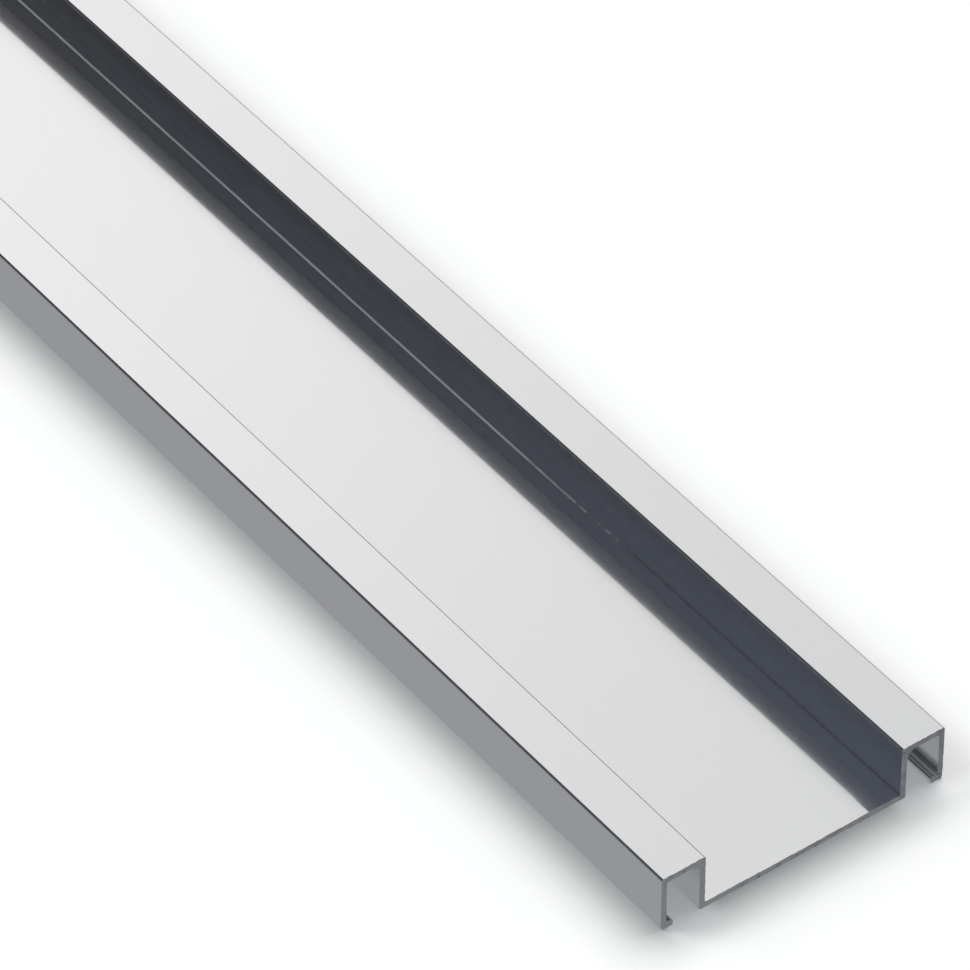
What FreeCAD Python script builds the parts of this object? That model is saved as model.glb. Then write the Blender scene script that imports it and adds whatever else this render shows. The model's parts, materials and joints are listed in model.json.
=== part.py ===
"""Double-rail tile profile with a sunken strip channel, as one extruded length of aluminium.

Two raised rails run along the edges of a thin web. The web lies in the adhesive bed and is
the floor of a channel for a strip of tile. Each rail is a cap on two legs, open below: the
outer leg ends in a lip that hooks in under the cap and keys into the adhesive. The whole is
one die shape, so one outline, drawn in the YZ plane, is pushed along X.

Frame: X runs along the length, Y across the section, Z up. The origin is in the middle of
the underside. Millimetres.
"""

import math
import os

import FreeCAD
import Part

# Overall sizes
LENGTH = 2500.0  # the bar length that tile profiles are sold in
WIDTH = 60.0  # over the outer faces of the two rails
HEIGHT = 12.0  # from the bed to the visible caps, for a 12 mm thick tile

# Rails
RAIL_WIDTH = 9.2  # visible width of one cap
CAP_THICKNESS = 1.2
OUTER_LEG_THICKNESS = 1.1
INNER_LEG_THICKNESS = 1.2

# Web, the floor of the strip channel
WEB_THICKNESS = 1.15

# Lip at the foot of each outer leg
LIP_REACH = 1.5  # from the leg's inner face to the tip
LIP_ROOT_THICKNESS = 1.5
LIP_TIP_THICKNESS = 1.25

# Corner radii that stand out
CAP_EDGE_RADIUS = 0.5
LEG_FOOT_RADIUS = 0.7
LIP_TIP_RADIUS = 0.6
WEB_EDGE_RADIUS = 0.5

# Corner radii that are filled in
CHANNEL_CORNER_RADIUS = 0.25
CAP_TO_INNER_LEG_RADIUS = 2.0  # the web hangs from this corner, so it is filled in most
CAP_TO_OUTER_LEG_RADIUS = 0.5
LIP_ROOT_RADIUS = 0.6

# Share of a wall's length that one rounded corner may take
CORNER_SHARE = 0.48


def section_corners():
    """Sharp corners of the half section at positive Y, each with the radius that rounds it.

    They run anticlockwise seen from the +X end, from the web's underside round the rail and
    back to the floor of the channel.
    """
    outer_face = WIDTH / 2
    leg_inner_face = outer_face - OUTER_LEG_THICKNESS
    lip_tip = leg_inner_face - LIP_REACH
    channel_wall = outer_face - RAIL_WIDTH
    hollow_wall = channel_wall + INNER_LEG_THICKNESS
    hollow_ceiling = HEIGHT - CAP_THICKNESS
    return [
        (hollow_wall, 0.0, WEB_EDGE_RADIUS),
        (hollow_wall, hollow_ceiling, CAP_TO_INNER_LEG_RADIUS),
        (leg_inner_face, hollow_ceiling, CAP_TO_OUTER_LEG_RADIUS),
        (leg_inner_face, LIP_ROOT_THICKNESS, LIP_ROOT_RADIUS),
        (lip_tip, LIP_TIP_THICKNESS, LIP_TIP_RADIUS),
        (lip_tip, 0.0, LIP_TIP_RADIUS),
        (outer_face, 0.0, LEG_FOOT_RADIUS),
        (outer_face, HEIGHT, CAP_EDGE_RADIUS),
        (channel_wall, HEIGHT, CAP_EDGE_RADIUS),
        (channel_wall, WEB_THICKNESS, CHANNEL_CORNER_RADIUS),
    ]


def mirrored(corners):
    """The same corners at negative Y, in the order that carries the outline on."""
    return [(-y, z, radius) for y, z, radius in reversed(corners)]


def rounded_corner(before, corner, after, radius):
    """Start, middle and end of the arc that rounds one corner of an outline.

    The radius is limited by the shorter of the two walls that meet there.
    """
    room = CORNER_SHARE * min(before.distanceToPoint(corner), after.distanceToPoint(corner))
    arriving = (before - corner).normalize()
    leaving = (after - corner).normalize()
    half_angle = arriving.getAngle(leaving) / 2
    setback = min(radius / math.tan(half_angle), room)
    radius = setback * math.tan(half_angle)
    to_centre = (arriving + leaving).normalize()
    centre = corner + to_centre * (radius / math.sin(half_angle))
    return (
        corner + arriving * setback,
        centre - to_centre * radius,
        corner + leaving * setback,
    )


def rounded_outline(corners):
    """Closed wire through the corners, with a tangent arc at each."""
    points = [FreeCAD.Vector(0, y, z) for y, z, _ in corners]
    arcs = []
    for i, (_, _, radius) in enumerate(corners):
        before, after = points[i - 1], points[(i + 1) % len(points)]
        arcs.append(rounded_corner(before, points[i], after, radius))
    edges = []
    for i, (start, middle, end) in enumerate(arcs):
        edges.append(Part.Arc(start, middle, end).toShape())
        next_start = arcs[(i + 1) % len(arcs)][0]
        edges.append(Part.LineSegment(end, next_start).toShape())
    return Part.Wire(edges)


def profile():
    """The extruded length, centred on X = 0."""
    half = section_corners()
    section = Part.Face(rounded_outline(half + mirrored(half)))
    bar = section.extrude(FreeCAD.Vector(LENGTH, 0, 0))
    bar.translate(FreeCAD.Vector(-LENGTH / 2, 0, 0))
    return bar


def main():
    os.makedirs("parts", exist_ok=True)
    bar = profile()
    bar.exportStep("parts/double_rail_profile.step")
    box = bar.BoundBox
    print("valid", bar.isValid(), "section mm2", round(bar.Volume / LENGTH, 2))
    print("box", round(box.XLength, 3), round(box.YLength, 3), round(box.ZLength, 3))


main()
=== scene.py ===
"""Looks of a double-rail tile profile: the bright extrusion with its sawn ends, and a pale studio stage."""

import json
import math

import bmesh
import bpy
from bpy.props import FloatProperty, FloatVectorProperty, IntProperty, PointerProperty
from mathutils import Matrix, Vector

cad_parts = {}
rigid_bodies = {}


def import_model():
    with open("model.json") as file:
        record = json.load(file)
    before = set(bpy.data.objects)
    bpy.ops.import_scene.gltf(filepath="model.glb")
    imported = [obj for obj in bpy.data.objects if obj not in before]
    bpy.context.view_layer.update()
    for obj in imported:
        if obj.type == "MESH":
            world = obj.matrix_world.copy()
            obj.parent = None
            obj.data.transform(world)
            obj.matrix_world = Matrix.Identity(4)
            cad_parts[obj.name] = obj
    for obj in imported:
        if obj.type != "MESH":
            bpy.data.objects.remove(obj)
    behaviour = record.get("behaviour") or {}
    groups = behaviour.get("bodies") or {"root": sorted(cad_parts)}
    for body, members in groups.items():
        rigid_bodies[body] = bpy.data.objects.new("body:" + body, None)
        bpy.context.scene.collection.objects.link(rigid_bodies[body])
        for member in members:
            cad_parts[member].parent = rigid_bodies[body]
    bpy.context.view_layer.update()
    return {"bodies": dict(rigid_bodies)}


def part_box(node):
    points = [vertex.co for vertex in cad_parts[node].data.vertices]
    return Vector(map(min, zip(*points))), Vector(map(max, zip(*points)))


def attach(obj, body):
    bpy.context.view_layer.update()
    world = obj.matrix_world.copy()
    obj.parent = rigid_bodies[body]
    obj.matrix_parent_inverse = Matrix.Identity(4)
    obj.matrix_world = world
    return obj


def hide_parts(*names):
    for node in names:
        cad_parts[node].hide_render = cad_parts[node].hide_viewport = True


bl_info = {
    "name": "Double-rail tile profile",
    "version": (1, 0, 0),
    "blender": (4, 5, 0),
    "location": "View3D > Sidebar > Tile profile",
    "description": "Models a double-rail aluminium tile profile and a pale studio stage for it",
    "category": "Add Mesh",
}

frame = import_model()
NODE = "double_rail_profile"
BODY = next(iter(frame["bodies"]))
LOW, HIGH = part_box(NODE)
LENGTH, WIDTH, HEIGHT = HIGH - LOW
NEAR_END = HIGH.x
MM = 0.001
SLACK = 0.02 * MM  # two lengths that differ by less are the same
BRIGHT, MILL, CORNER, SAWN = range(4)  # the finishes, in the order of the piece's materials

# Burrs and bites along the rim of the saw cut: place across and up the section, how many points of
# the rim it takes, and how far it stands out from the cut, in millimetres
BURRS = (
    (-17.3, 0.0, 2, 0.3),
    (-13.2, 0.0, 2, 0.3),
    (5.8, 0.0, 2, 0.3),
    (8.9, 0.2, 1, -0.4),
    (13.9, 0.0, 2, 0.2),
    (29.7, 0.1, 1, 0.2),
    (-28.9, 0.0, 2, 0.2),
)

# How the top of the web swells beside each rail: distance from the middle, and rise, in millimetres
WEB_RISE = ((8.0, 0.0), (11.0, 0.02), (14.0, 0.094), (16.0, 0.066), (20.5, 0.024))

# The part of the channel's filled corner that has a finish of its own, as shares of its height
CORNER_LOW, CORNER_HIGH = 0.02, 0.8

# Softboxes: name, direction round and above the horizon, width, and share of the floor's light
SOFTBOXES = (
    ("high_softbox", 123.4, 61.0, 48.9, 0.55),
    ("side_softbox", -135.8, 40.7, 27.6, 0.15),
)
ROOM = 0.21  # share of the floor's light that comes from the walls and ceiling of the room
GLOW = 0.112  # strength of the floor's own glow, which keeps its shadow pale
UNDER_GLOW = 0.19  # what is added to it under the rails, for light that is thrown to and fro there
SIDE_GLOW = 0.05  # share of it that is left in a strip beside the right rail

PAPER = "#F7F7F7"  # the floor's paper
GLOW_TINT = "#F2FAFF"
# Painted shade: the paper as the metal mirrors it is a flat grey, with a darker band some way beside the left
# rail
SHADED_PAPER, DARK_BAND = "#9C9DA0", "#5E6064"  # the floor as the metal mirrors it
BLACK = (0.0, 0.0, 0.0, 1.0)
WHITE = (1.0, 1.0, 1.0, 1.0)

FLOOR_SIZE = 400.0  # metres, so that its edge lies out of sight
FLOOR_DROP = 0.02 * MM  # below the profile, so that the two faces don't lie in one plane
CARD_LENGTH = 60 * MM
CARD_DROP = 0.5 * MM  # below the top of the caps
SENSOR = 36.0  # width of the camera's sensor, in millimetres


def linear(hex_code):
    """Linear red, green, blue and alpha of an sRGB colour such as #C0C2C4."""
    channels = [int(hex_code[i : i + 2], 16) / 255 for i in (1, 3, 5)]
    return [c / 12.92 if c <= 0.04045 else ((c + 0.055) / 1.055) ** 2.4 for c in channels] + [1.0]


def size_property(name, default_mm, description):
    """A length that a user can change, given in millimetres and kept in metres."""
    return FloatProperty(
        name=name,
        description=description,
        default=default_mm * MM,
        min=0.0,
        unit="LENGTH",
        precision=5,
    )


def colour_property(name, hex_code, description):
    """A surface colour that a user can change."""
    return FloatVectorProperty(
        name=name,
        description=description,
        default=linear(hex_code),
        size=4,
        subtype="COLOR",
        min=0.0,
        max=1.0,
    )


class SectionSizes(bpy.types.PropertyGroup):
    """Sizes of the extruded section; its width, height and length are the frame's."""

    rail_width: size_property("Rail width", 9.2, "Visible width of one cap")
    cap: size_property("Cap", 1.2, "Thickness of a cap")
    outer_leg: size_property("Outer leg", 1.1, "Thickness of an outer leg")
    inner_leg: size_property("Inner leg", 1.2, "Thickness of an inner leg")
    web: size_property("Web", 1.15, "Thickness of the web between the rails")
    lip_reach: size_property("Lip reach", 1.5, "How far a lip stands in from its leg")
    lip_root: size_property("Lip root", 1.5, "Thickness of a lip where it leaves its leg")
    lip_tip: size_property("Lip tip", 1.25, "Thickness of a lip at its tip")
    cap_edge: size_property("Cap edge", 0.5, "Radius along the edges of a cap")
    leg_foot: size_property("Leg foot", 0.7, "Radius under an outer leg")
    lip_round: size_property("Lip rounding", 0.6, "Radius of a lip's tip")
    web_edge: size_property("Web edge", 0.5, "Radius where the web's underside meets a rail")
    channel_corner: size_property("Channel corner", 0.25, "Filled radius at the foot of the channel's walls")
    inner_corner: size_property("Inner corner", 2.0, "Filled radius under a cap at the inner leg")
    outer_corner: size_property("Outer corner", 0.5, "Filled radius under a cap at the outer leg")
    lip_corner: size_property("Lip corner", 0.6, "Filled radius where a lip leaves its leg")

    @property
    def wall(self):
        """Distance of the channel's walls from the middle."""
        return WIDTH / 2 - self.rail_width

    @property
    def hollow(self):
        """Distance of the inner legs' faces inside the rails from the middle."""
        return self.wall + self.inner_leg

    @property
    def leg(self):
        """Distance of the outer legs' faces inside the rails from the middle."""
        return WIDTH / 2 - self.outer_leg

    @property
    def tip(self):
        """Distance of the lips' tips from the middle."""
        return self.leg - self.lip_reach

    @property
    def ceiling(self):
        """Height of the caps' undersides."""
        return HEIGHT - self.cap


class SawCutSizes(bpy.types.PropertyGroup):
    """Sizes of what the saw leaves at both ends."""

    burr: size_property("Burr", 0.3, "How far the longest burr stands out from the cut")
    rim: size_property("Rim", 0.12, "Width of the uneven rim round the cut")
    wear: size_property("Wear", 0.28, "Strength of the rim's unevenness")
    grain: size_property("Grain", 0.5, "Size of the bites along the rim")
    step: size_property("Step", 0.3, "Distance between the points along the rim")
    zone: size_property("Zone", 5.0, "Length of bar that carries the fine points")


class FinishColours(bpy.types.PropertyGroup):
    """Colours of the metal."""

    bright: colour_property("Bright face", "#F2F2F2", "Polished and clear anodised aluminium")
    # The bright metal of the right rail, from its channel wall out, is drawn a shade greyer
    cap: colour_property("Cap face", "#EEEEEE", "The same on the cap that was handled, a shade greyer")
    # Painted shade: the bright metal drawn darker high on the channel's walls
    wall: colour_property("Channel wall", "#C6C7C9", "The same high on the channel's walls, where it is hazy")
    # The channel's filled corners: darker and glossy near the near end, lighter, duller and less metallic
    # further along
    corner: colour_property("Channel corner", "#C0C2C6", "Filled corner of the channel, cleaned near one end")
    matte: colour_property("Veiled corner", "#D1D4D8", "The same where dried polishing paste was left")
    # Painted shade on the lips and the foot of the outer legs, in streaks along the bar, darkest just above
    # the lips
    mill: colour_property("Mill face", "#E8EBEC", "Aluminium inside the rails, as the die left it")
    shade_streak: colour_property("Stain", "#9B9D9D", "Darkest lines of the stain that die lubricant leaves")
    shade_streak_light: colour_property("Stain line", "#EDEEED", "Lightest lines of that stain")
    lip_root_shade: colour_property("Dirt", "#969899", "The same stain at its thickest, just over a lip")
    sawn: colour_property("Sawn end", "#C8C9C9", "Bare aluminium as the saw left it")
    smeared: colour_property("Smeared metal", "#B4B5B7", "Duller places where the saw smeared the metal")
    pitted: colour_property("Pits", "#7C7C7E", "Small pits where the saw tore the metal")


class StageSettings(bpy.types.PropertyGroup):
    """The camera, and how finely corners are drawn for it."""

    azimuth: FloatProperty(
        name="Azimuth",
        description="Turn of the camera round the profile, from the side at 0 to the cut end at 90 degrees",
        default=math.radians(53.5517),
        subtype="ANGLE",
    )
    elevation: FloatProperty(
        name="Elevation",
        description="Height of the camera above the floor, as an angle",
        default=math.radians(42.6651),
        subtype="ANGLE",
    )
    roll: FloatProperty(
        name="Roll",
        description="Turn of the picture about the line of sight",
        default=math.radians(-0.1715),
        subtype="ANGLE",
    )
    lens: FloatProperty(name="Lens", description="Focal length", default=260.76, min=1.0, unit="CAMERA")
    distance: size_property("Distance", 1174.03, "From the camera to the near end, along the line of sight")
    aside: size_property("Aside", 53.12, "How far the near end lies right of the picture's middle")
    below: size_property("Below", 61.54, "How far the near end lies below the picture's middle")
    arc_steps: IntProperty(name="Arc steps", description="Faces round a corner", default=8, min=1, max=16)


def add_node(tree, kind, inputs=None, **settings):
    """Adds a node, with its settings and with each input set or linked."""
    node = tree.nodes.new(kind)
    for key, value in settings.items():
        setattr(node, key, value)
    for socket, value in (inputs or {}).items():
        if isinstance(value, bpy.types.NodeSocket):
            tree.links.new(value, node.inputs[socket])
        else:
            node.inputs[socket].default_value = value
    return node


def new_material(name):
    """An empty node material and its tree."""
    material = bpy.data.materials.new(name)
    material.use_nodes = True
    material.node_tree.nodes.clear()
    return material, material.node_tree


def place_on_object(tree):
    """Where a point lies on the object, as a vector and as its X, Y and Z, in metres."""
    place = add_node(tree, "ShaderNodeTexCoord").outputs["Object"]
    return place, add_node(tree, "ShaderNodeSeparateXYZ", {"Vector": place}).outputs


def colour_along(tree, value, tones):
    """A colour that changes with a value, through tones given as pairs of value and colour."""
    low, high = tones[0][0], tones[-1][0]
    share = add_node(tree, "ShaderNodeMapRange", {"Value": value, "From Min": low, "From Max": high})
    ramp = add_node(tree, "ShaderNodeValToRGB", {"Fac": share.outputs[0]})
    elements = ramp.color_ramp.elements
    while len(elements) < len(tones):
        elements.new(0.5)
    for element, (place, tone) in zip(elements, tones):
        element.position = (place - low) / (high - low)
        element.color = linear(tone)
    return ramp.outputs["Color"]


def share_within(tree, limits):
    """A share that is 1 only where every value, such as a distance, is past its second limit.

    Each limit is a value, where its share is 0, and where it is 1. In between it rises evenly.
    """
    share = 1.0
    for value, outer, inner in limits:
        within = add_node(tree, "ShaderNodeMapRange", {"Value": value, "From Min": outer, "From Max": inner})
        share = add_node(
            tree, "ShaderNodeMath", {0: within.outputs[0], 1: share}, operation="MULTIPLY"
        ).outputs[0]
    return share


def bright_aluminium(colours, sizes):
    """Extruded aluminium, polished along its length and clear anodised: nearly a mirror.

    The brush left short strokes along it, 0.05 mm long and 0.02 mm apart. They are too fine to show one
    by one, and together lay a soft veil round each reflection. Beside each rail, where the edge of the
    polishing wheel ran, the strokes are coarser. In clouds of 33 by 11 mm the polish is a shade duller.
    """
    material, tree = new_material("bright_anodised_aluminium")
    place, axis = place_on_object(tree)
    aside = add_node(tree, "ShaderNodeMath", {0: axis["Y"]}, operation="ABSOLUTE").outputs[0]
    cloud_place = add_node(tree, "ShaderNodeMapping", {"Vector": place, "Scale": (30, 90, 90)})
    cloud = add_node(
        tree, "ShaderNodeTexNoise", {"Vector": cloud_place.outputs[0], "Scale": 1.0, "Detail": 3.0}
    )
    polish = add_node(
        tree,
        "ShaderNodeMapRange",
        {"Value": cloud.outputs["Fac"], "From Min": 0.3, "From Max": 0.7, "To Min": 0.085, "To Max": 0.105},
    )
    line_place = add_node(tree, "ShaderNodeMapping", {"Vector": place, "Scale": (20000, 50000, 50000)})
    lines = add_node(
        tree, "ShaderNodeTexNoise", {"Vector": line_place.outputs[0], "Scale": 1.0, "Detail": 1.0}
    )
    wheel_edge = ((aside, 13.6 * MM, 14.4 * MM), (aside, 17.8 * MM, 17.0 * MM))
    further = {"From Min": NEAR_END, "From Max": NEAR_END - 120 * MM, "To Min": 0.02, "To Max": 0.09}
    coarser = add_node(tree, "ShaderNodeMapRange", {"Value": axis["X"], **further})
    stroke = add_node(
        tree,
        "ShaderNodeMath",
        {0: share_within(tree, wheel_edge), 1: coarser.outputs[0], 2: 0.26},
        operation="MULTIPLY_ADD",
    )
    roughness = add_node(
        tree,
        "ShaderNodeMapRange",
        {
            "Value": lines.outputs["Fac"],
            "From Min": 0.52,
            "From Max": 0.57,
            "To Min": polish.outputs[0],
            "To Max": stroke.outputs[0],
        },
    )
    # From 18 mm right of the middle, rising to full at 20.4 mm, the bright faces take the greyer cap colour
    greyed = add_node(
        tree, "ShaderNodeMapRange", {"Value": axis["Y"], "From Min": 0.30 * WIDTH, "From Max": 0.34 * WIDTH}
    )
    face = add_node(
        tree,
        "ShaderNodeMix",
        {"Factor": greyed.outputs[0], 6: colours.bright, 7: colours.cap},
        data_type="RGBA",
    )
    # Painted shade high on the channel's walls: the wall colour is mixed in there, at about half strength
    # near the near end and fully from 200 mm along
    high_on_wall = (
        (aside, sizes.wall + 0.12 * MM, sizes.wall + 0.02 * MM),
        (axis["Z"], 0.3 * HEIGHT, 0.75 * HEIGHT),
    )
    further = {"From Min": NEAR_END - 20 * MM, "From Max": NEAR_END - 200 * MM, "To Min": 0.45}
    wall_shade_fade = add_node(tree, "ShaderNodeMapRange", {"Value": axis["X"], **further})
    shaded = add_node(
        tree,
        "ShaderNodeMath",
        {0: share_within(tree, high_on_wall), 1: wall_shade_fade.outputs[0]},
        operation="MULTIPLY",
    )
    colour = add_node(
        tree,
        "ShaderNodeMix",
        {"Factor": shaded.outputs[0], 6: face.outputs[2], 7: colours.wall},
        data_type="RGBA",
    )
    shader = add_node(
        tree,
        "ShaderNodeBsdfPrincipled",
        {"Base Color": colour.outputs[2], "Metallic": 1.0, "Roughness": roughness.outputs[0]},
    )
    add_node(tree, "ShaderNodeOutputMaterial", {"Surface": shader.outputs[0]})
    return material


def mill_aluminium(colours, sizes):
    """Aluminium as the die left it, inside the rails and under the web: satin, with lines along the bar.

    The lips and the foot of the outer legs are duller, and drawn darker in streaks along the bar as painted
    shade, darkest just above the lips. The lines there are drawn 0.4 mm apart, so that they show.
    """
    material, tree = new_material("mill_finish_aluminium")
    place, axis = place_on_object(tree)
    aside = add_node(tree, "ShaderNodeMath", {0: axis["Y"]}, operation="ABSOLUTE").outputs[0]
    # Duller finish and painted shade on the lips and the foot of the outer legs
    low_on_legs = ((aside, 0.44 * WIDTH, 0.45 * WIDTH), (axis["Z"], 4.8 * MM, 3.2 * MM))
    duller_and_shaded = share_within(tree, low_on_legs)
    line_place = add_node(tree, "ShaderNodeMapping", {"Vector": place, "Scale": (10, 2500, 2500)})
    lines = add_node(
        tree, "ShaderNodeTexNoise", {"Vector": line_place.outputs[0], "Scale": 1.0, "Detail": 1.0}
    )
    line_tone = add_node(
        tree, "ShaderNodeMapRange", {"Value": lines.outputs["Fac"], "From Min": 0.4, "From Max": 0.6}
    )
    shade_streak = add_node(
        tree,
        "ShaderNodeMix",
        {"Factor": line_tone.outputs[0], 6: colours.shade_streak, 7: colours.shade_streak_light},
        data_type="RGBA",
    )
    # Deepest painted shade, on the outer legs' inner faces just above the lips
    over_the_lip = (
        (aside, sizes.leg - 0.4 * MM, sizes.leg - 0.2 * MM),
        (axis["Z"], 4.0 * MM, 2.7 * MM),
        (axis["Z"], 1.9 * MM, 2.2 * MM),
    )
    shaded_over_lip = add_node(
        tree,
        "ShaderNodeMix",
        {"Factor": share_within(tree, over_the_lip), 6: shade_streak.outputs[2], 7: colours.lip_root_shade},
        data_type="RGBA",
    )
    colour = add_node(
        tree,
        "ShaderNodeMix",
        {"Factor": duller_and_shaded, 6: colours.mill, 7: shaded_over_lip.outputs[2]},
        data_type="RGBA",
    )
    roughness = add_node(tree, "ShaderNodeMapRange", {"Value": duller_and_shaded, "To Min": 0.2, "To Max": 0.42})
    shader = add_node(
        tree,
        "ShaderNodeBsdfPrincipled",
        {"Base Color": colour.outputs[2], "Metallic": 1.0, "Roughness": roughness.outputs[0]},
    )
    add_node(tree, "ShaderNodeOutputMaterial", {"Surface": shader.outputs[0]})
    return material


def corner_aluminium(colours):
    """The channel's filled corners, with a finish of their own.

    Within about 90 mm of the near end they are darker and glossy. Further along they are lighter, duller and
    less metallic, unevenly at first, in crumbs of 1.4 mm.
    """
    material, tree = new_material("channel_corner_aluminium")
    place, axis = place_on_object(tree)
    crumbs = add_node(tree, "ShaderNodeTexNoise", {"Vector": place, "Scale": 700.0, "Detail": 1.0})
    ragged = add_node(
        tree,
        "ShaderNodeMath",
        {0: crumbs.outputs["Fac"], 1: 40 * MM, 2: axis["X"]},
        operation="MULTIPLY_ADD",
    )
    glossier_span = {"Value": ragged.outputs[0], "From Min": NEAR_END - 92 * MM, "From Max": NEAR_END - 52 * MM}
    glossier = add_node(tree, "ShaderNodeMapRange", glossier_span).outputs[0]
    colour = add_node(
        tree, "ShaderNodeMix", {"Factor": glossier, 6: colours.matte, 7: colours.corner}, data_type="RGBA"
    )
    metallic = add_node(tree, "ShaderNodeMapRange", {"Value": glossier, "To Min": 0.35})
    roughness = add_node(tree, "ShaderNodeMapRange", {"Value": glossier, "To Min": 0.5, "To Max": 0.15})
    shader = add_node(
        tree,
        "ShaderNodeBsdfPrincipled",
        {
            "Base Color": colour.outputs[2],
            "Metallic": metallic.outputs[0],
            "Roughness": roughness.outputs[0],
        },
    )
    add_node(tree, "ShaderNodeOutputMaterial", {"Surface": shader.outputs[0]})
    return material


def sawn_aluminium(colours):
    """Bare aluminium cut with a circular saw: dull and grey, with arcs from the teeth and smeared places.

    The smears are 2 mm wide, and more of them lie toward the right rail, so that the cut is darker there. The
    pits are 1.7 mm wide and 0.7 mm high. The arcs are drawn 0.5 mm apart, so that they show, round a blade's
    centre that lies 170 mm below the cut.
    """
    material, tree = new_material("sawn_aluminium")
    place, axis = place_on_object(tree)
    smear_place = add_node(tree, "ShaderNodeMapping", {"Vector": place, "Scale": (500, 500, 500)})
    smear = add_node(
        tree, "ShaderNodeTexNoise", {"Vector": smear_place.outputs[0], "Scale": 1.0, "Detail": 3.0}
    )
    # More smears, and so a darker cut, toward the right rail
    more_to_one_side = add_node(
        tree, "ShaderNodeMath", {0: axis["Y"], 1: 5.0, 2: smear.outputs["Fac"]}, operation="MULTIPLY_ADD"
    )
    smeared = add_node(
        tree,
        "ShaderNodeMapRange",
        {"Value": more_to_one_side.outputs[0], "From Min": 0.42, "From Max": 0.66},
    )
    colour = add_node(
        tree,
        "ShaderNodeMix",
        {"Factor": smeared.outputs[0], 6: colours.sawn, 7: colours.smeared},
        data_type="RGBA",
    )
    pit_place = add_node(tree, "ShaderNodeMapping", {"Vector": place, "Scale": (600, 600, 1400)})
    pit = add_node(tree, "ShaderNodeTexNoise", {"Vector": pit_place.outputs[0], "Scale": 1.0, "Detail": 2.0})
    pitted = add_node(
        tree, "ShaderNodeMapRange", {"Value": pit.outputs["Fac"], "From Min": 0.64, "From Max": 0.72}
    )
    torn = add_node(
        tree,
        "ShaderNodeMix",
        {"Factor": pitted.outputs[0], 6: colour.outputs[2], 7: colours.pitted},
        data_type="RGBA",
    )
    blade_place = add_node(
        tree, "ShaderNodeMapping", {"Vector": place, "Location": (0, -30 * MM, 170 * MM)}
    )
    arcs = add_node(
        tree,
        "ShaderNodeTexWave",
        {"Vector": blade_place.outputs[0], "Scale": 620.0, "Distortion": 1.5, "Detail Scale": 2.0},
        wave_type="RINGS",
        rings_direction="X",
    )
    bump = add_node(
        tree, "ShaderNodeBump", {"Height": arcs.outputs["Fac"], "Strength": 0.25, "Distance": 0.02 * MM}
    )
    shader = add_node(
        tree,
        "ShaderNodeBsdfPrincipled",
        {"Base Color": torn.outputs[2], "Metallic": 1.0, "Roughness": 0.5, "Normal": bump.outputs[0]},
    )
    add_node(tree, "ShaderNodeOutputMaterial", {"Surface": shader.outputs[0]})
    return material


def near(a, b):
    """Whether two lengths are the same, but for rounding."""
    return abs(a - b) < SLACK


def select_faces(piece, wanted):
    """In edit mode, selects only the faces for which wanted(centre, normal) is true."""
    bpy.ops.mesh.select_all(action="DESELECT")
    bpy.ops.mesh.select_mode(type="FACE")
    edit = bmesh.from_edit_mesh(piece.data)
    for face in edit.faces:
        face.select_set(wanted(face.calc_center_median(), face.normal))
    bmesh.update_edit_mesh(piece.data)


def select_edges(piece, wanted, fits=lambda length: True):
    """In edit mode, selects only the edges of which both ends are wanted and whose length fits."""
    bpy.ops.mesh.select_all(action="DESELECT")
    bpy.ops.mesh.select_mode(type="EDGE")
    edit = bmesh.from_edit_mesh(piece.data)
    for edge in edit.edges:
        edge.select_set(all(wanted(vert.co) for vert in edge.verts) and fits(edge.calc_length()))
    bmesh.update_edit_mesh(piece.data)


def select_nearest_points(piece, place, count):
    """In edit mode, selects only the points nearest to a place."""
    bpy.ops.mesh.select_all(action="DESELECT")
    bpy.ops.mesh.select_mode(type="VERT")
    edit = bmesh.from_edit_mesh(piece.data)
    for vert in sorted(edit.verts, key=lambda vert: (vert.co - Vector(place)).length)[:count]:
        vert.select_set(True)
    bmesh.update_edit_mesh(piece.data)


def extrude(piece, normal, inside, travel):
    """Pulls the faces with this normal, and with a centre inside a test, out by a vector."""
    select_faces(piece, lambda c, n: n.dot(Vector(normal)) > 0.99 and inside(c))
    bpy.ops.mesh.extrude_region_move(TRANSFORM_OT_translate={"value": travel})


def merge_level_faces():
    """In edit mode, makes one face of those that lie in one plane."""
    bpy.ops.mesh.select_all(action="SELECT")
    bpy.ops.mesh.dissolve_limited(angle_limit=math.radians(1))


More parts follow.
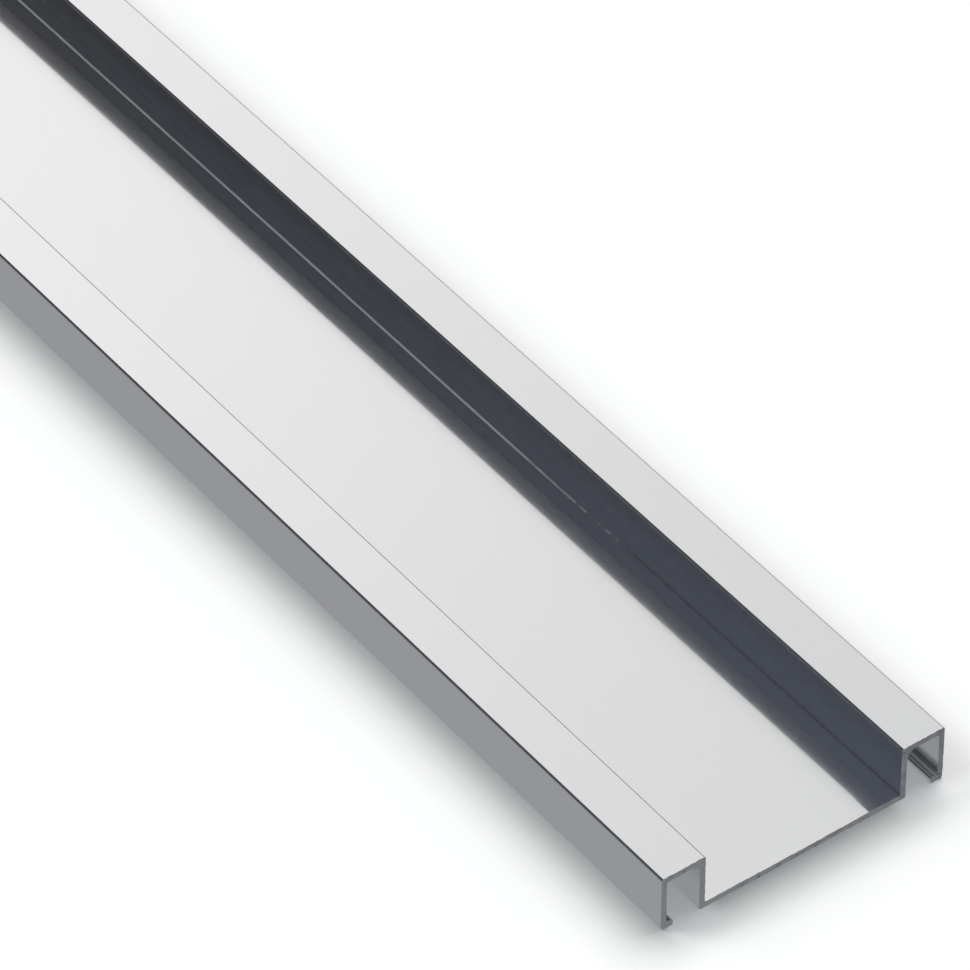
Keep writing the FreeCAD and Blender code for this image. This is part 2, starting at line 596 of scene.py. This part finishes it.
def half_section(sizes, length):
    """Half of the bar, with sharp corners: its rail is pulled out of a block that is half the web."""
    wall, hollow, leg, ceiling = sizes.wall, sizes.hollow, sizes.leg, sizes.ceiling
    bpy.ops.object.select_all(action="DESELECT")
    bpy.ops.mesh.primitive_cube_add(size=1.0, location=(0, wall / 2, sizes.web / 2))
    piece = bpy.context.object
    piece.name = "bright_profile"
    piece.scale = (length, wall, sizes.web)
    bpy.ops.object.transform_apply(location=True, rotation=False, scale=True)
    bpy.ops.object.mode_set(mode="EDIT")
    extrude(piece, (0, 1, 0), lambda c: True, (0, sizes.inner_leg, 0))
    extrude(piece, (0, 0, 1), lambda c: c.y > wall, (0, 0, ceiling - sizes.web))
    extrude(piece, (0, 0, 1), lambda c: c.y > wall, (0, 0, sizes.cap))
    extrude(piece, (0, 1, 0), lambda c: c.z > ceiling, (0, leg - hollow, 0))
    extrude(piece, (0, 1, 0), lambda c: c.z > ceiling, (0, sizes.outer_leg, 0))
    extrude(piece, (0, 0, -1), lambda c: c.y > leg, (0, 0, sizes.lip_root - ceiling))
    extrude(piece, (0, 0, -1), lambda c: c.y > leg, (0, 0, -sizes.lip_root))
    extrude(piece, (0, -1, 0), lambda c: c.y > hollow and c.z < sizes.lip_root, (0, -sizes.lip_reach, 0))
    select_edges(piece, lambda p: near(p.y, sizes.tip) and near(p.z, sizes.lip_root))
    bpy.ops.transform.translate(value=(0, 0, sizes.lip_tip - sizes.lip_root))
    select_faces(piece, lambda c, n: near(c.y, 0.0) and n.y < -0.99)
    bpy.ops.mesh.delete(type="FACE")
    merge_level_faces()
    bpy.ops.object.mode_set(mode="OBJECT")
    return piece


def swell_web(piece, sizes):
    """In edit mode, raises the top of the web a little beside each rail."""
    for across, rise in WEB_RISE:
        for y in (-across * MM, across * MM):
            bpy.ops.mesh.select_all(action="SELECT")
            bpy.ops.mesh.bisect(plane_co=(0, y, 0), plane_no=(0, 1, 0))
        select_edges(piece, lambda p: near(abs(p.y), across * MM) and p.z > sizes.web / 2)
        bpy.ops.transform.resize(value=(1, 1, 0), center_override=(0, 0, sizes.web + rise * MM))


def round_corners(piece, sizes, arc_steps):
    """In edit mode, rounds the section's corners, each given by its place and its radius."""
    corners = [
        (WIDTH / 2, HEIGHT, sizes.cap_edge),
        (sizes.wall, HEIGHT, sizes.cap_edge),
        (sizes.wall, sizes.web, sizes.channel_corner),
        (sizes.hollow, 0.0, sizes.web_edge),
        (sizes.hollow, sizes.ceiling, sizes.inner_corner),
        (sizes.leg, sizes.ceiling, sizes.outer_corner),
        (sizes.leg, sizes.lip_root, sizes.lip_corner),
        (sizes.tip, sizes.lip_tip, sizes.lip_round),
        (sizes.tip, 0.0, sizes.lip_round),
        (WIDTH / 2, 0.0, sizes.leg_foot),
    ]
    for across, height, radius in corners:
        select_edges(piece, lambda p: near(abs(p.y), across) and near(p.z, height))
        bpy.ops.mesh.bevel(offset=radius, segments=arc_steps, affect="EDGES")


def extruded_section(sizes, length, arc_steps):
    """The bar with its section, and flat ends."""
    piece = half_section(sizes, length)
    mirror = piece.modifiers.new("other_rail", "MIRROR")
    mirror.use_axis = (False, True, False)
    bpy.ops.object.modifier_apply(modifier=mirror.name)
    bpy.ops.object.mode_set(mode="EDIT")
    merge_level_faces()
    swell_web(piece, sizes)
    round_corners(piece, sizes, arc_steps)
    bpy.ops.mesh.select_all(action="SELECT")
    bpy.ops.mesh.normals_make_consistent(inside=False)
    bpy.ops.object.mode_set(mode="OBJECT")
    return piece


def divide_rim(piece, cut, end):
    """Puts points along the rims of both ends, and a seam that keeps them off the rest of the bar."""
    bpy.ops.object.mode_set(mode="EDIT")
    for side in (-1, 1):
        bpy.ops.mesh.select_all(action="SELECT")
        bpy.ops.mesh.bisect(plane_co=(side * (end - cut.zone), 0, 0), plane_no=(1, 0, 0))
    select_faces(piece, lambda c, n: near(abs(c.x), end))
    bpy.ops.mesh.delete(type="ONLY_FACE")
    edit = bmesh.from_edit_mesh(piece.data)
    rim = [edge for edge in edit.edges if all(near(abs(vert.co.x), end) for vert in edge.verts)]
    counts = {round(edge.calc_length() / cut.step) for edge in rim}
    for count in sorted(counts - {0, 1}):
        select_edges(piece, lambda p: near(abs(p.x), end), lambda length: round(length / cut.step) == count)
        bpy.ops.mesh.subdivide(number_cuts=count - 1)
    for side in (-1, 1):
        select_edges(piece, lambda p: near(p.x, side * end))
        bpy.ops.mesh.edge_face_add()
    bpy.ops.object.mode_set(mode="OBJECT")


def wear_rim(piece, cut, end):
    """Moves the points of both rims in and out unevenly, as the saw's teeth leave them."""
    rim = piece.vertex_groups.new(name="saw_rim")
    rim.add([v.index for v in piece.data.vertices if near(abs(v.co.x), end)], 1.0, "REPLACE")
    bites = bpy.data.textures.new("saw_bites", "CLOUDS")
    bites.noise_scale = cut.grain
    uneven = piece.modifiers.new("uneven_rim", "DISPLACE")
    uneven.texture = bites
    uneven.texture_coords = "LOCAL"
    uneven.direction = "X"
    uneven.strength = cut.wear
    uneven.vertex_group = rim.name
    bpy.ops.object.modifier_apply(modifier=uneven.name)
    piece.vertex_groups.clear()


def raise_burrs(piece, cut, end):
    """Pulls the burrs out of both rims, and levels the cut inside a narrow border."""
    bpy.ops.object.mode_set(mode="EDIT")
    for side in (-1, 1):
        for y, z, points, out in BURRS:
            select_nearest_points(piece, (side * end, y * MM, z * MM), points)
            reach = side * (end + min(out * MM, cut.burr))
            bpy.ops.transform.resize(value=(0, 1, 1), center_override=(reach, 0, 0))
        select_faces(piece, lambda c, n: n.x * side > 0.9)
        bpy.ops.mesh.inset(thickness=cut.rim)
        bpy.ops.transform.resize(value=(0, 1, 1), center_override=(side * end, 0, 0))
    bpy.ops.mesh.select_all(action="SELECT")
    bpy.ops.mesh.normals_make_consistent(inside=False)
    bpy.ops.object.mode_set(mode="OBJECT")


def finish_of(centre, normal, sizes):
    """Which finish a face has, by its place and the way it looks."""
    across = abs(centre.y)
    if abs(normal.x) > 0.3:
        return SAWN
    up_the_corner = (centre.z - sizes.web) / sizes.channel_corner
    in_the_corner = sizes.wall - sizes.channel_corner < across < sizes.wall + SLACK
    if in_the_corner and CORNER_LOW < up_the_corner < CORNER_HIGH:
        return CORNER
    in_the_rail = sizes.wall + SLACK < across < sizes.leg + SLACK and centre.z < sizes.ceiling + SLACK
    if in_the_rail or centre.z < SLACK:
        return MILL
    return BRIGHT


class TILEPROFILE_OT_profile(bpy.types.Operator):
    """Model the extruded profile with its sawn ends"""

    bl_idname = "tileprofile.profile"
    bl_label = "Double-rail profile"
    bl_options = {"REGISTER", "UNDO"}

    def execute(self, context):
        sizes = context.scene.profile_sizes
        cut = context.scene.saw_cut_sizes
        colours = context.scene.finish_colours
        end = LENGTH / 2 - cut.burr
        piece = extruded_section(sizes, 2 * end, context.scene.stage_settings.arc_steps)
        divide_rim(piece, cut, end)
        wear_rim(piece, cut, end)
        raise_burrs(piece, cut, end)
        bpy.ops.object.shade_smooth_by_angle(angle=math.radians(30))
        flat = piece.modifiers.new("flat_faces", "WEIGHTED_NORMAL")
        flat.keep_sharp = True
        flat.weight = 100
        bpy.ops.object.modifier_apply(modifier=flat.name)
        piece.data.materials.append(bright_aluminium(colours, sizes))
        piece.data.materials.append(mill_aluminium(colours, sizes))
        piece.data.materials.append(corner_aluminium(colours))
        piece.data.materials.append(sawn_aluminium(colours))
        for face in piece.data.polygons:
            face.material_index = finish_of(face.center, face.normal, sizes)
        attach(piece, BODY)
        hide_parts(NODE)
        return {"FINISHED"}


def not_thrown_by_paper(tree, path):
    """1 for a ray that no paper has thrown on: for others the metal is dark, so it casts no streaks."""
    return add_node(
        tree, "ShaderNodeMath", {0: path.outputs["Diffuse Depth"], 1: 0.5}, operation="LESS_THAN"
    ).outputs[0]


def floor_glow(tree, axis):
    """The floor's glow, stronger under both rails and nearly gone beside the right one."""
    away_x = add_node(tree, "ShaderNodeMath", {0: axis["X"]}, operation="ABSOLUTE").outputs[0]
    away_y = add_node(tree, "ShaderNodeMath", {0: axis["Y"]}, operation="ABSOLUTE").outputs[0]
    under = (
        (away_x, LENGTH / 2 + 4.5 * MM, LENGTH / 2 - 1 * MM),
        (away_y, 0.30 * WIDTH, 0.35 * WIDTH),
        (away_y, WIDTH / 2, WIDTH / 2 - 1.5 * MM),
    )
    beside = (
        (away_x, LENGTH / 2 + 3 * MM, LENGTH / 2),
        (axis["Y"], 42 * MM, 32 * MM),
        (axis["Y"], WIDTH / 2 - 1 * MM, WIDTH / 2),
    )
    in_the_open = add_node(
        tree,
        "ShaderNodeMapRange",
        {"Value": share_within(tree, beside), "To Min": GLOW, "To Max": SIDE_GLOW * GLOW},
    )
    strength = add_node(
        tree,
        "ShaderNodeMath",
        {0: share_within(tree, under), 1: UNDER_GLOW, 2: in_the_open.outputs[0]},
        operation="MULTIPLY_ADD",
    )
    return add_node(
        tree, "ShaderNodeEmission", {"Color": linear(GLOW_TINT), "Strength": strength.outputs[0]}
    )


def pale_floor():
    """White paper that keeps the soft shadow; in the metal it shows as a flat grey of painted shade, with a
    darker band some way beside the left rail.
    """
    material, tree = new_material("pale_floor")
    _, axis = place_on_object(tree)
    paper = add_node(tree, "ShaderNodeBsdfDiffuse", {"Color": linear(PAPER)})
    glow = floor_glow(tree, axis)
    lit = add_node(tree, "ShaderNodeAddShader", {0: paper.outputs[0], 1: glow.outputs[0]})
    # Painted shade of the paper as the metal mirrors it, by distance across the bar
    tones = ((-0.14, SHADED_PAPER), (-0.12, SHADED_PAPER), (-0.105, DARK_BAND), (-0.058, DARK_BAND), (-0.046, SHADED_PAPER))
    path = add_node(tree, "ShaderNodeLightPath")
    mirrored = add_node(
        tree,
        "ShaderNodeEmission",
        {"Color": colour_along(tree, axis["Y"], tones), "Strength": not_thrown_by_paper(tree, path)},
    )
    mixed = add_node(
        tree,
        "ShaderNodeMixShader",
        {0: path.outputs["Is Glossy Ray"], 1: lit.outputs[0], 2: mirrored.outputs[0]},
    )
    add_node(tree, "ShaderNodeOutputMaterial", {"Surface": mixed.outputs[0]})
    return material


def light_wall(tree, axis):
    """The light wall that the metal mirrors, darker low down on the far side."""
    tones = ((-0.66, "#FEFEFF"), (-0.57, "#E8E8E8"), (-0.53, "#E3E4E5"), (-0.39, "#D3D5D6"))
    height = add_node(
        tree,
        "ShaderNodeMapRange",
        {"Value": axis["Z"], "From Min": 0.10, "From Max": 0.58, "To Min": 0.25},
        interpolation_type="SMOOTHSTEP",
    )
    far_side = add_node(tree, "ShaderNodeMapRange", {"Value": axis["Y"], "From Min": -0.1, "From Max": 0.1})
    shade = add_node(
        tree, "ShaderNodeMix", {"Factor": far_side.outputs[0], "A": 1.0, "B": height.outputs[0]}
    )
    wall = add_node(
        tree,
        "ShaderNodeMix",
        {"Factor": 1.0, 6: colour_along(tree, axis["X"], tones), 7: shade.outputs[0]},
        data_type="RGBA",
        blend_type="MULTIPLY",
    )
    return wall.outputs[2]


def dark_flag(tree, axis):
    """The tone of the dark flag that stands beside the wall, and how much of it a direction shows."""
    over_y = add_node(
        tree,
        "ShaderNodeMapRange",
        {"Value": axis["Y"], "From Min": 0.10, "From Max": -0.10},
        interpolation_type="SMOOTHSTEP",
    )
    over_x = add_node(
        tree,
        "ShaderNodeMapRange",
        {"Value": axis["X"], "From Min": -0.05, "From Max": -0.35},
        interpolation_type="SMOOTHSTEP",
    )
    share = add_node(
        tree, "ShaderNodeMath", {0: over_y.outputs[0], 1: over_x.outputs[0]}, operation="MULTIPLY"
    )
    high = colour_along(tree, axis["X"], ((-0.66, "#303338"), (-0.53, "#4E5462")))
    foot = add_node(tree, "ShaderNodeMapRange", {"Value": axis["Z"], "From Min": 0.65, "From Max": 0.58})
    tone = add_node(
        tree,
        "ShaderNodeMix",
        {"Factor": foot.outputs[0], 6: high, 7: linear("#424245")},
        data_type="RGBA",
    )
    return tone.outputs[2], share.outputs[0]


def studio_world():
    """White to the camera; to the metal, a light wall with a dark flag beside it.

    A place in it is given by its direction, whose X, Y and Z run from -1 to 1.
    """
    world = bpy.data.worlds.new("studio")
    world.use_nodes = True
    world.cycles.sampling_method = "NONE"
    tree = world.node_tree
    tree.nodes.clear()
    bpy.context.scene.world = world
    toward = add_node(tree, "ShaderNodeTexCoord").outputs["Generated"]
    axis = add_node(tree, "ShaderNodeSeparateXYZ", {"Vector": toward}).outputs
    flag_tone, flag_share = dark_flag(tree, axis)
    studio = add_node(
        tree,
        "ShaderNodeMix",
        {"Factor": flag_share, 6: light_wall(tree, axis), 7: flag_tone},
        data_type="RGBA",
    )
    path = add_node(tree, "ShaderNodeLightPath")
    seen_in_metal = add_node(
        tree,
        "ShaderNodeMix",
        {"Factor": not_thrown_by_paper(tree, path), 6: BLACK, 7: studio.outputs[2]},
        data_type="RGBA",
    )
    room = ROOM / linear(PAPER)[0]
    metal_or_floor = add_node(
        tree,
        "ShaderNodeMix",
        {
            "Factor": path.outputs["Is Glossy Ray"],
            6: (room, room, room, 1.0),
            7: seen_in_metal.outputs[2],
        },
        data_type="RGBA",
    )
    shown = add_node(
        tree,
        "ShaderNodeMix",
        {"Factor": path.outputs["Is Camera Ray"], 6: metal_or_floor.outputs[2], 7: WHITE},
        data_type="RGBA",
    )
    background = add_node(tree, "ShaderNodeBackground", {"Color": shown.outputs[2], "Strength": 1.0})
    add_node(tree, "ShaderNodeOutputWorld", {"Surface": background.outputs[0]})


def softbox(name, around, above, width, share):
    """A wide lamp far away that gives a share of the floor's white, and stays out of the metal."""
    above = math.radians(above)
    around = math.radians(around)
    toward = Vector((math.cos(around) * math.cos(above), math.sin(around) * math.cos(above), math.sin(above)))
    bpy.ops.object.light_add(type="SUN", rotation=toward.to_track_quat("Z", "Y").to_euler())
    lamp = bpy.context.object
    lamp.name = name
    lamp.data.angle = math.radians(width)
    lamp.data.energy = share * math.pi / (math.sin(above) * linear(PAPER)[0])
    lamp.visible_glossy = False


def shadow_card(name, end):
    """A black card over one end that nobody sees: it makes the low web's shadow as soft as the rails'."""
    bpy.ops.object.select_all(action="DESELECT")
    place = (end * (LENGTH - CARD_LENGTH) / 2, 0, HEIGHT - CARD_DROP)
    bpy.ops.mesh.primitive_plane_add(size=1.0, location=place)
    card = bpy.context.object
    card.name = name
    card.scale = (CARD_LENGTH, WIDTH, 1.0)
    bpy.ops.object.transform_apply(location=True, rotation=False, scale=True)
    black, tree = new_material("black_card")
    paint = add_node(tree, "ShaderNodeBsdfDiffuse", {"Color": BLACK})
    add_node(tree, "ShaderNodeOutputMaterial", {"Surface": paint.outputs[0]})
    card.data.materials.append(black)
    card.visible_camera = False
    card.visible_glossy = False
    card.visible_transmission = False


def studio_camera(scene):
    """The camera, turned to the photographed angle and placed by where it shows the near end."""
    settings = scene.stage_settings
    azimuth, elevation, roll = settings.azimuth, settings.elevation, settings.roll
    back = Vector(
        (
            math.sin(azimuth) * math.cos(elevation),
            -math.cos(azimuth) * math.cos(elevation),
            math.sin(elevation),
        )
    )
    level = Vector((math.cos(azimuth), math.sin(azimuth), 0.0))
    upright = back.cross(level)
    right = math.cos(roll) * level + math.sin(roll) * upright
    up = math.cos(roll) * upright - math.sin(roll) * level
    cut_face = Vector((NEAR_END - scene.saw_cut_sizes.burr, 0, LOW.z))
    place = cut_face - right * settings.aside + up * settings.below + back * settings.distance
    camera = bpy.data.objects.new("camera", bpy.data.cameras.new("camera"))
    camera.data.lens = settings.lens
    camera.data.sensor_width = SENSOR
    camera.matrix_world = Matrix.Translation(place) @ Matrix((right, up, back)).transposed().to_4x4()
    scene.collection.objects.link(camera)
    scene.camera = camera


class TILEPROFILE_OT_stage(bpy.types.Operator):
    """Make the floor, the light and the camera"""

    bl_idname = "tileprofile.stage"
    bl_label = "Stage"
    bl_options = {"REGISTER", "UNDO"}

    def execute(self, context):
        bpy.ops.object.select_all(action="DESELECT")
        bpy.ops.mesh.primitive_plane_add(size=FLOOR_SIZE, location=(0, 0, -FLOOR_DROP))
        floor = context.object
        floor.name = "floor"
        floor.data.materials.append(pale_floor())
        shadow_card("near_shadow_card", 1)
        shadow_card("far_shadow_card", -1)
        studio_world()
        for box in SOFTBOXES:
            softbox(*box)
        studio_camera(context.scene)
        context.scene.view_settings.view_transform = "Standard"
        return {"FINISHED"}


class TILEPROFILE_PT_panel(bpy.types.Panel):
    """Steps that build the profile and its stage"""

    bl_label = "Tile profile"
    bl_idname = "TILEPROFILE_PT_panel"
    bl_space_type = "VIEW_3D"
    bl_region_type = "UI"
    bl_category = "Tile profile"

    def draw(self, context):
        for step in OPERATORS:
            self.layout.operator(step.bl_idname)


OPERATORS = (TILEPROFILE_OT_profile, TILEPROFILE_OT_stage)
GROUPS = (
    ("profile_sizes", SectionSizes),
    ("saw_cut_sizes", SawCutSizes),
    ("finish_colours", FinishColours),
    ("stage_settings", StageSettings),
)
CLASSES = (*(group for _, group in GROUPS), *OPERATORS, TILEPROFILE_PT_panel)


def register():
    for cls in CLASSES:
        bpy.utils.register_class(cls)
    for name, group in GROUPS:
        setattr(bpy.types.Scene, name, PointerProperty(type=group))


def unregister():
    for name, _ in GROUPS:
        delattr(bpy.types.Scene, name)
    for cls in reversed(CLASSES):
        bpy.utils.unregister_class(cls)


def main():
    """Builds everything."""
    register()
    bpy.ops.tileprofile.profile()
    bpy.ops.tileprofile.stage()


if __name__ == "__main__":
    main()
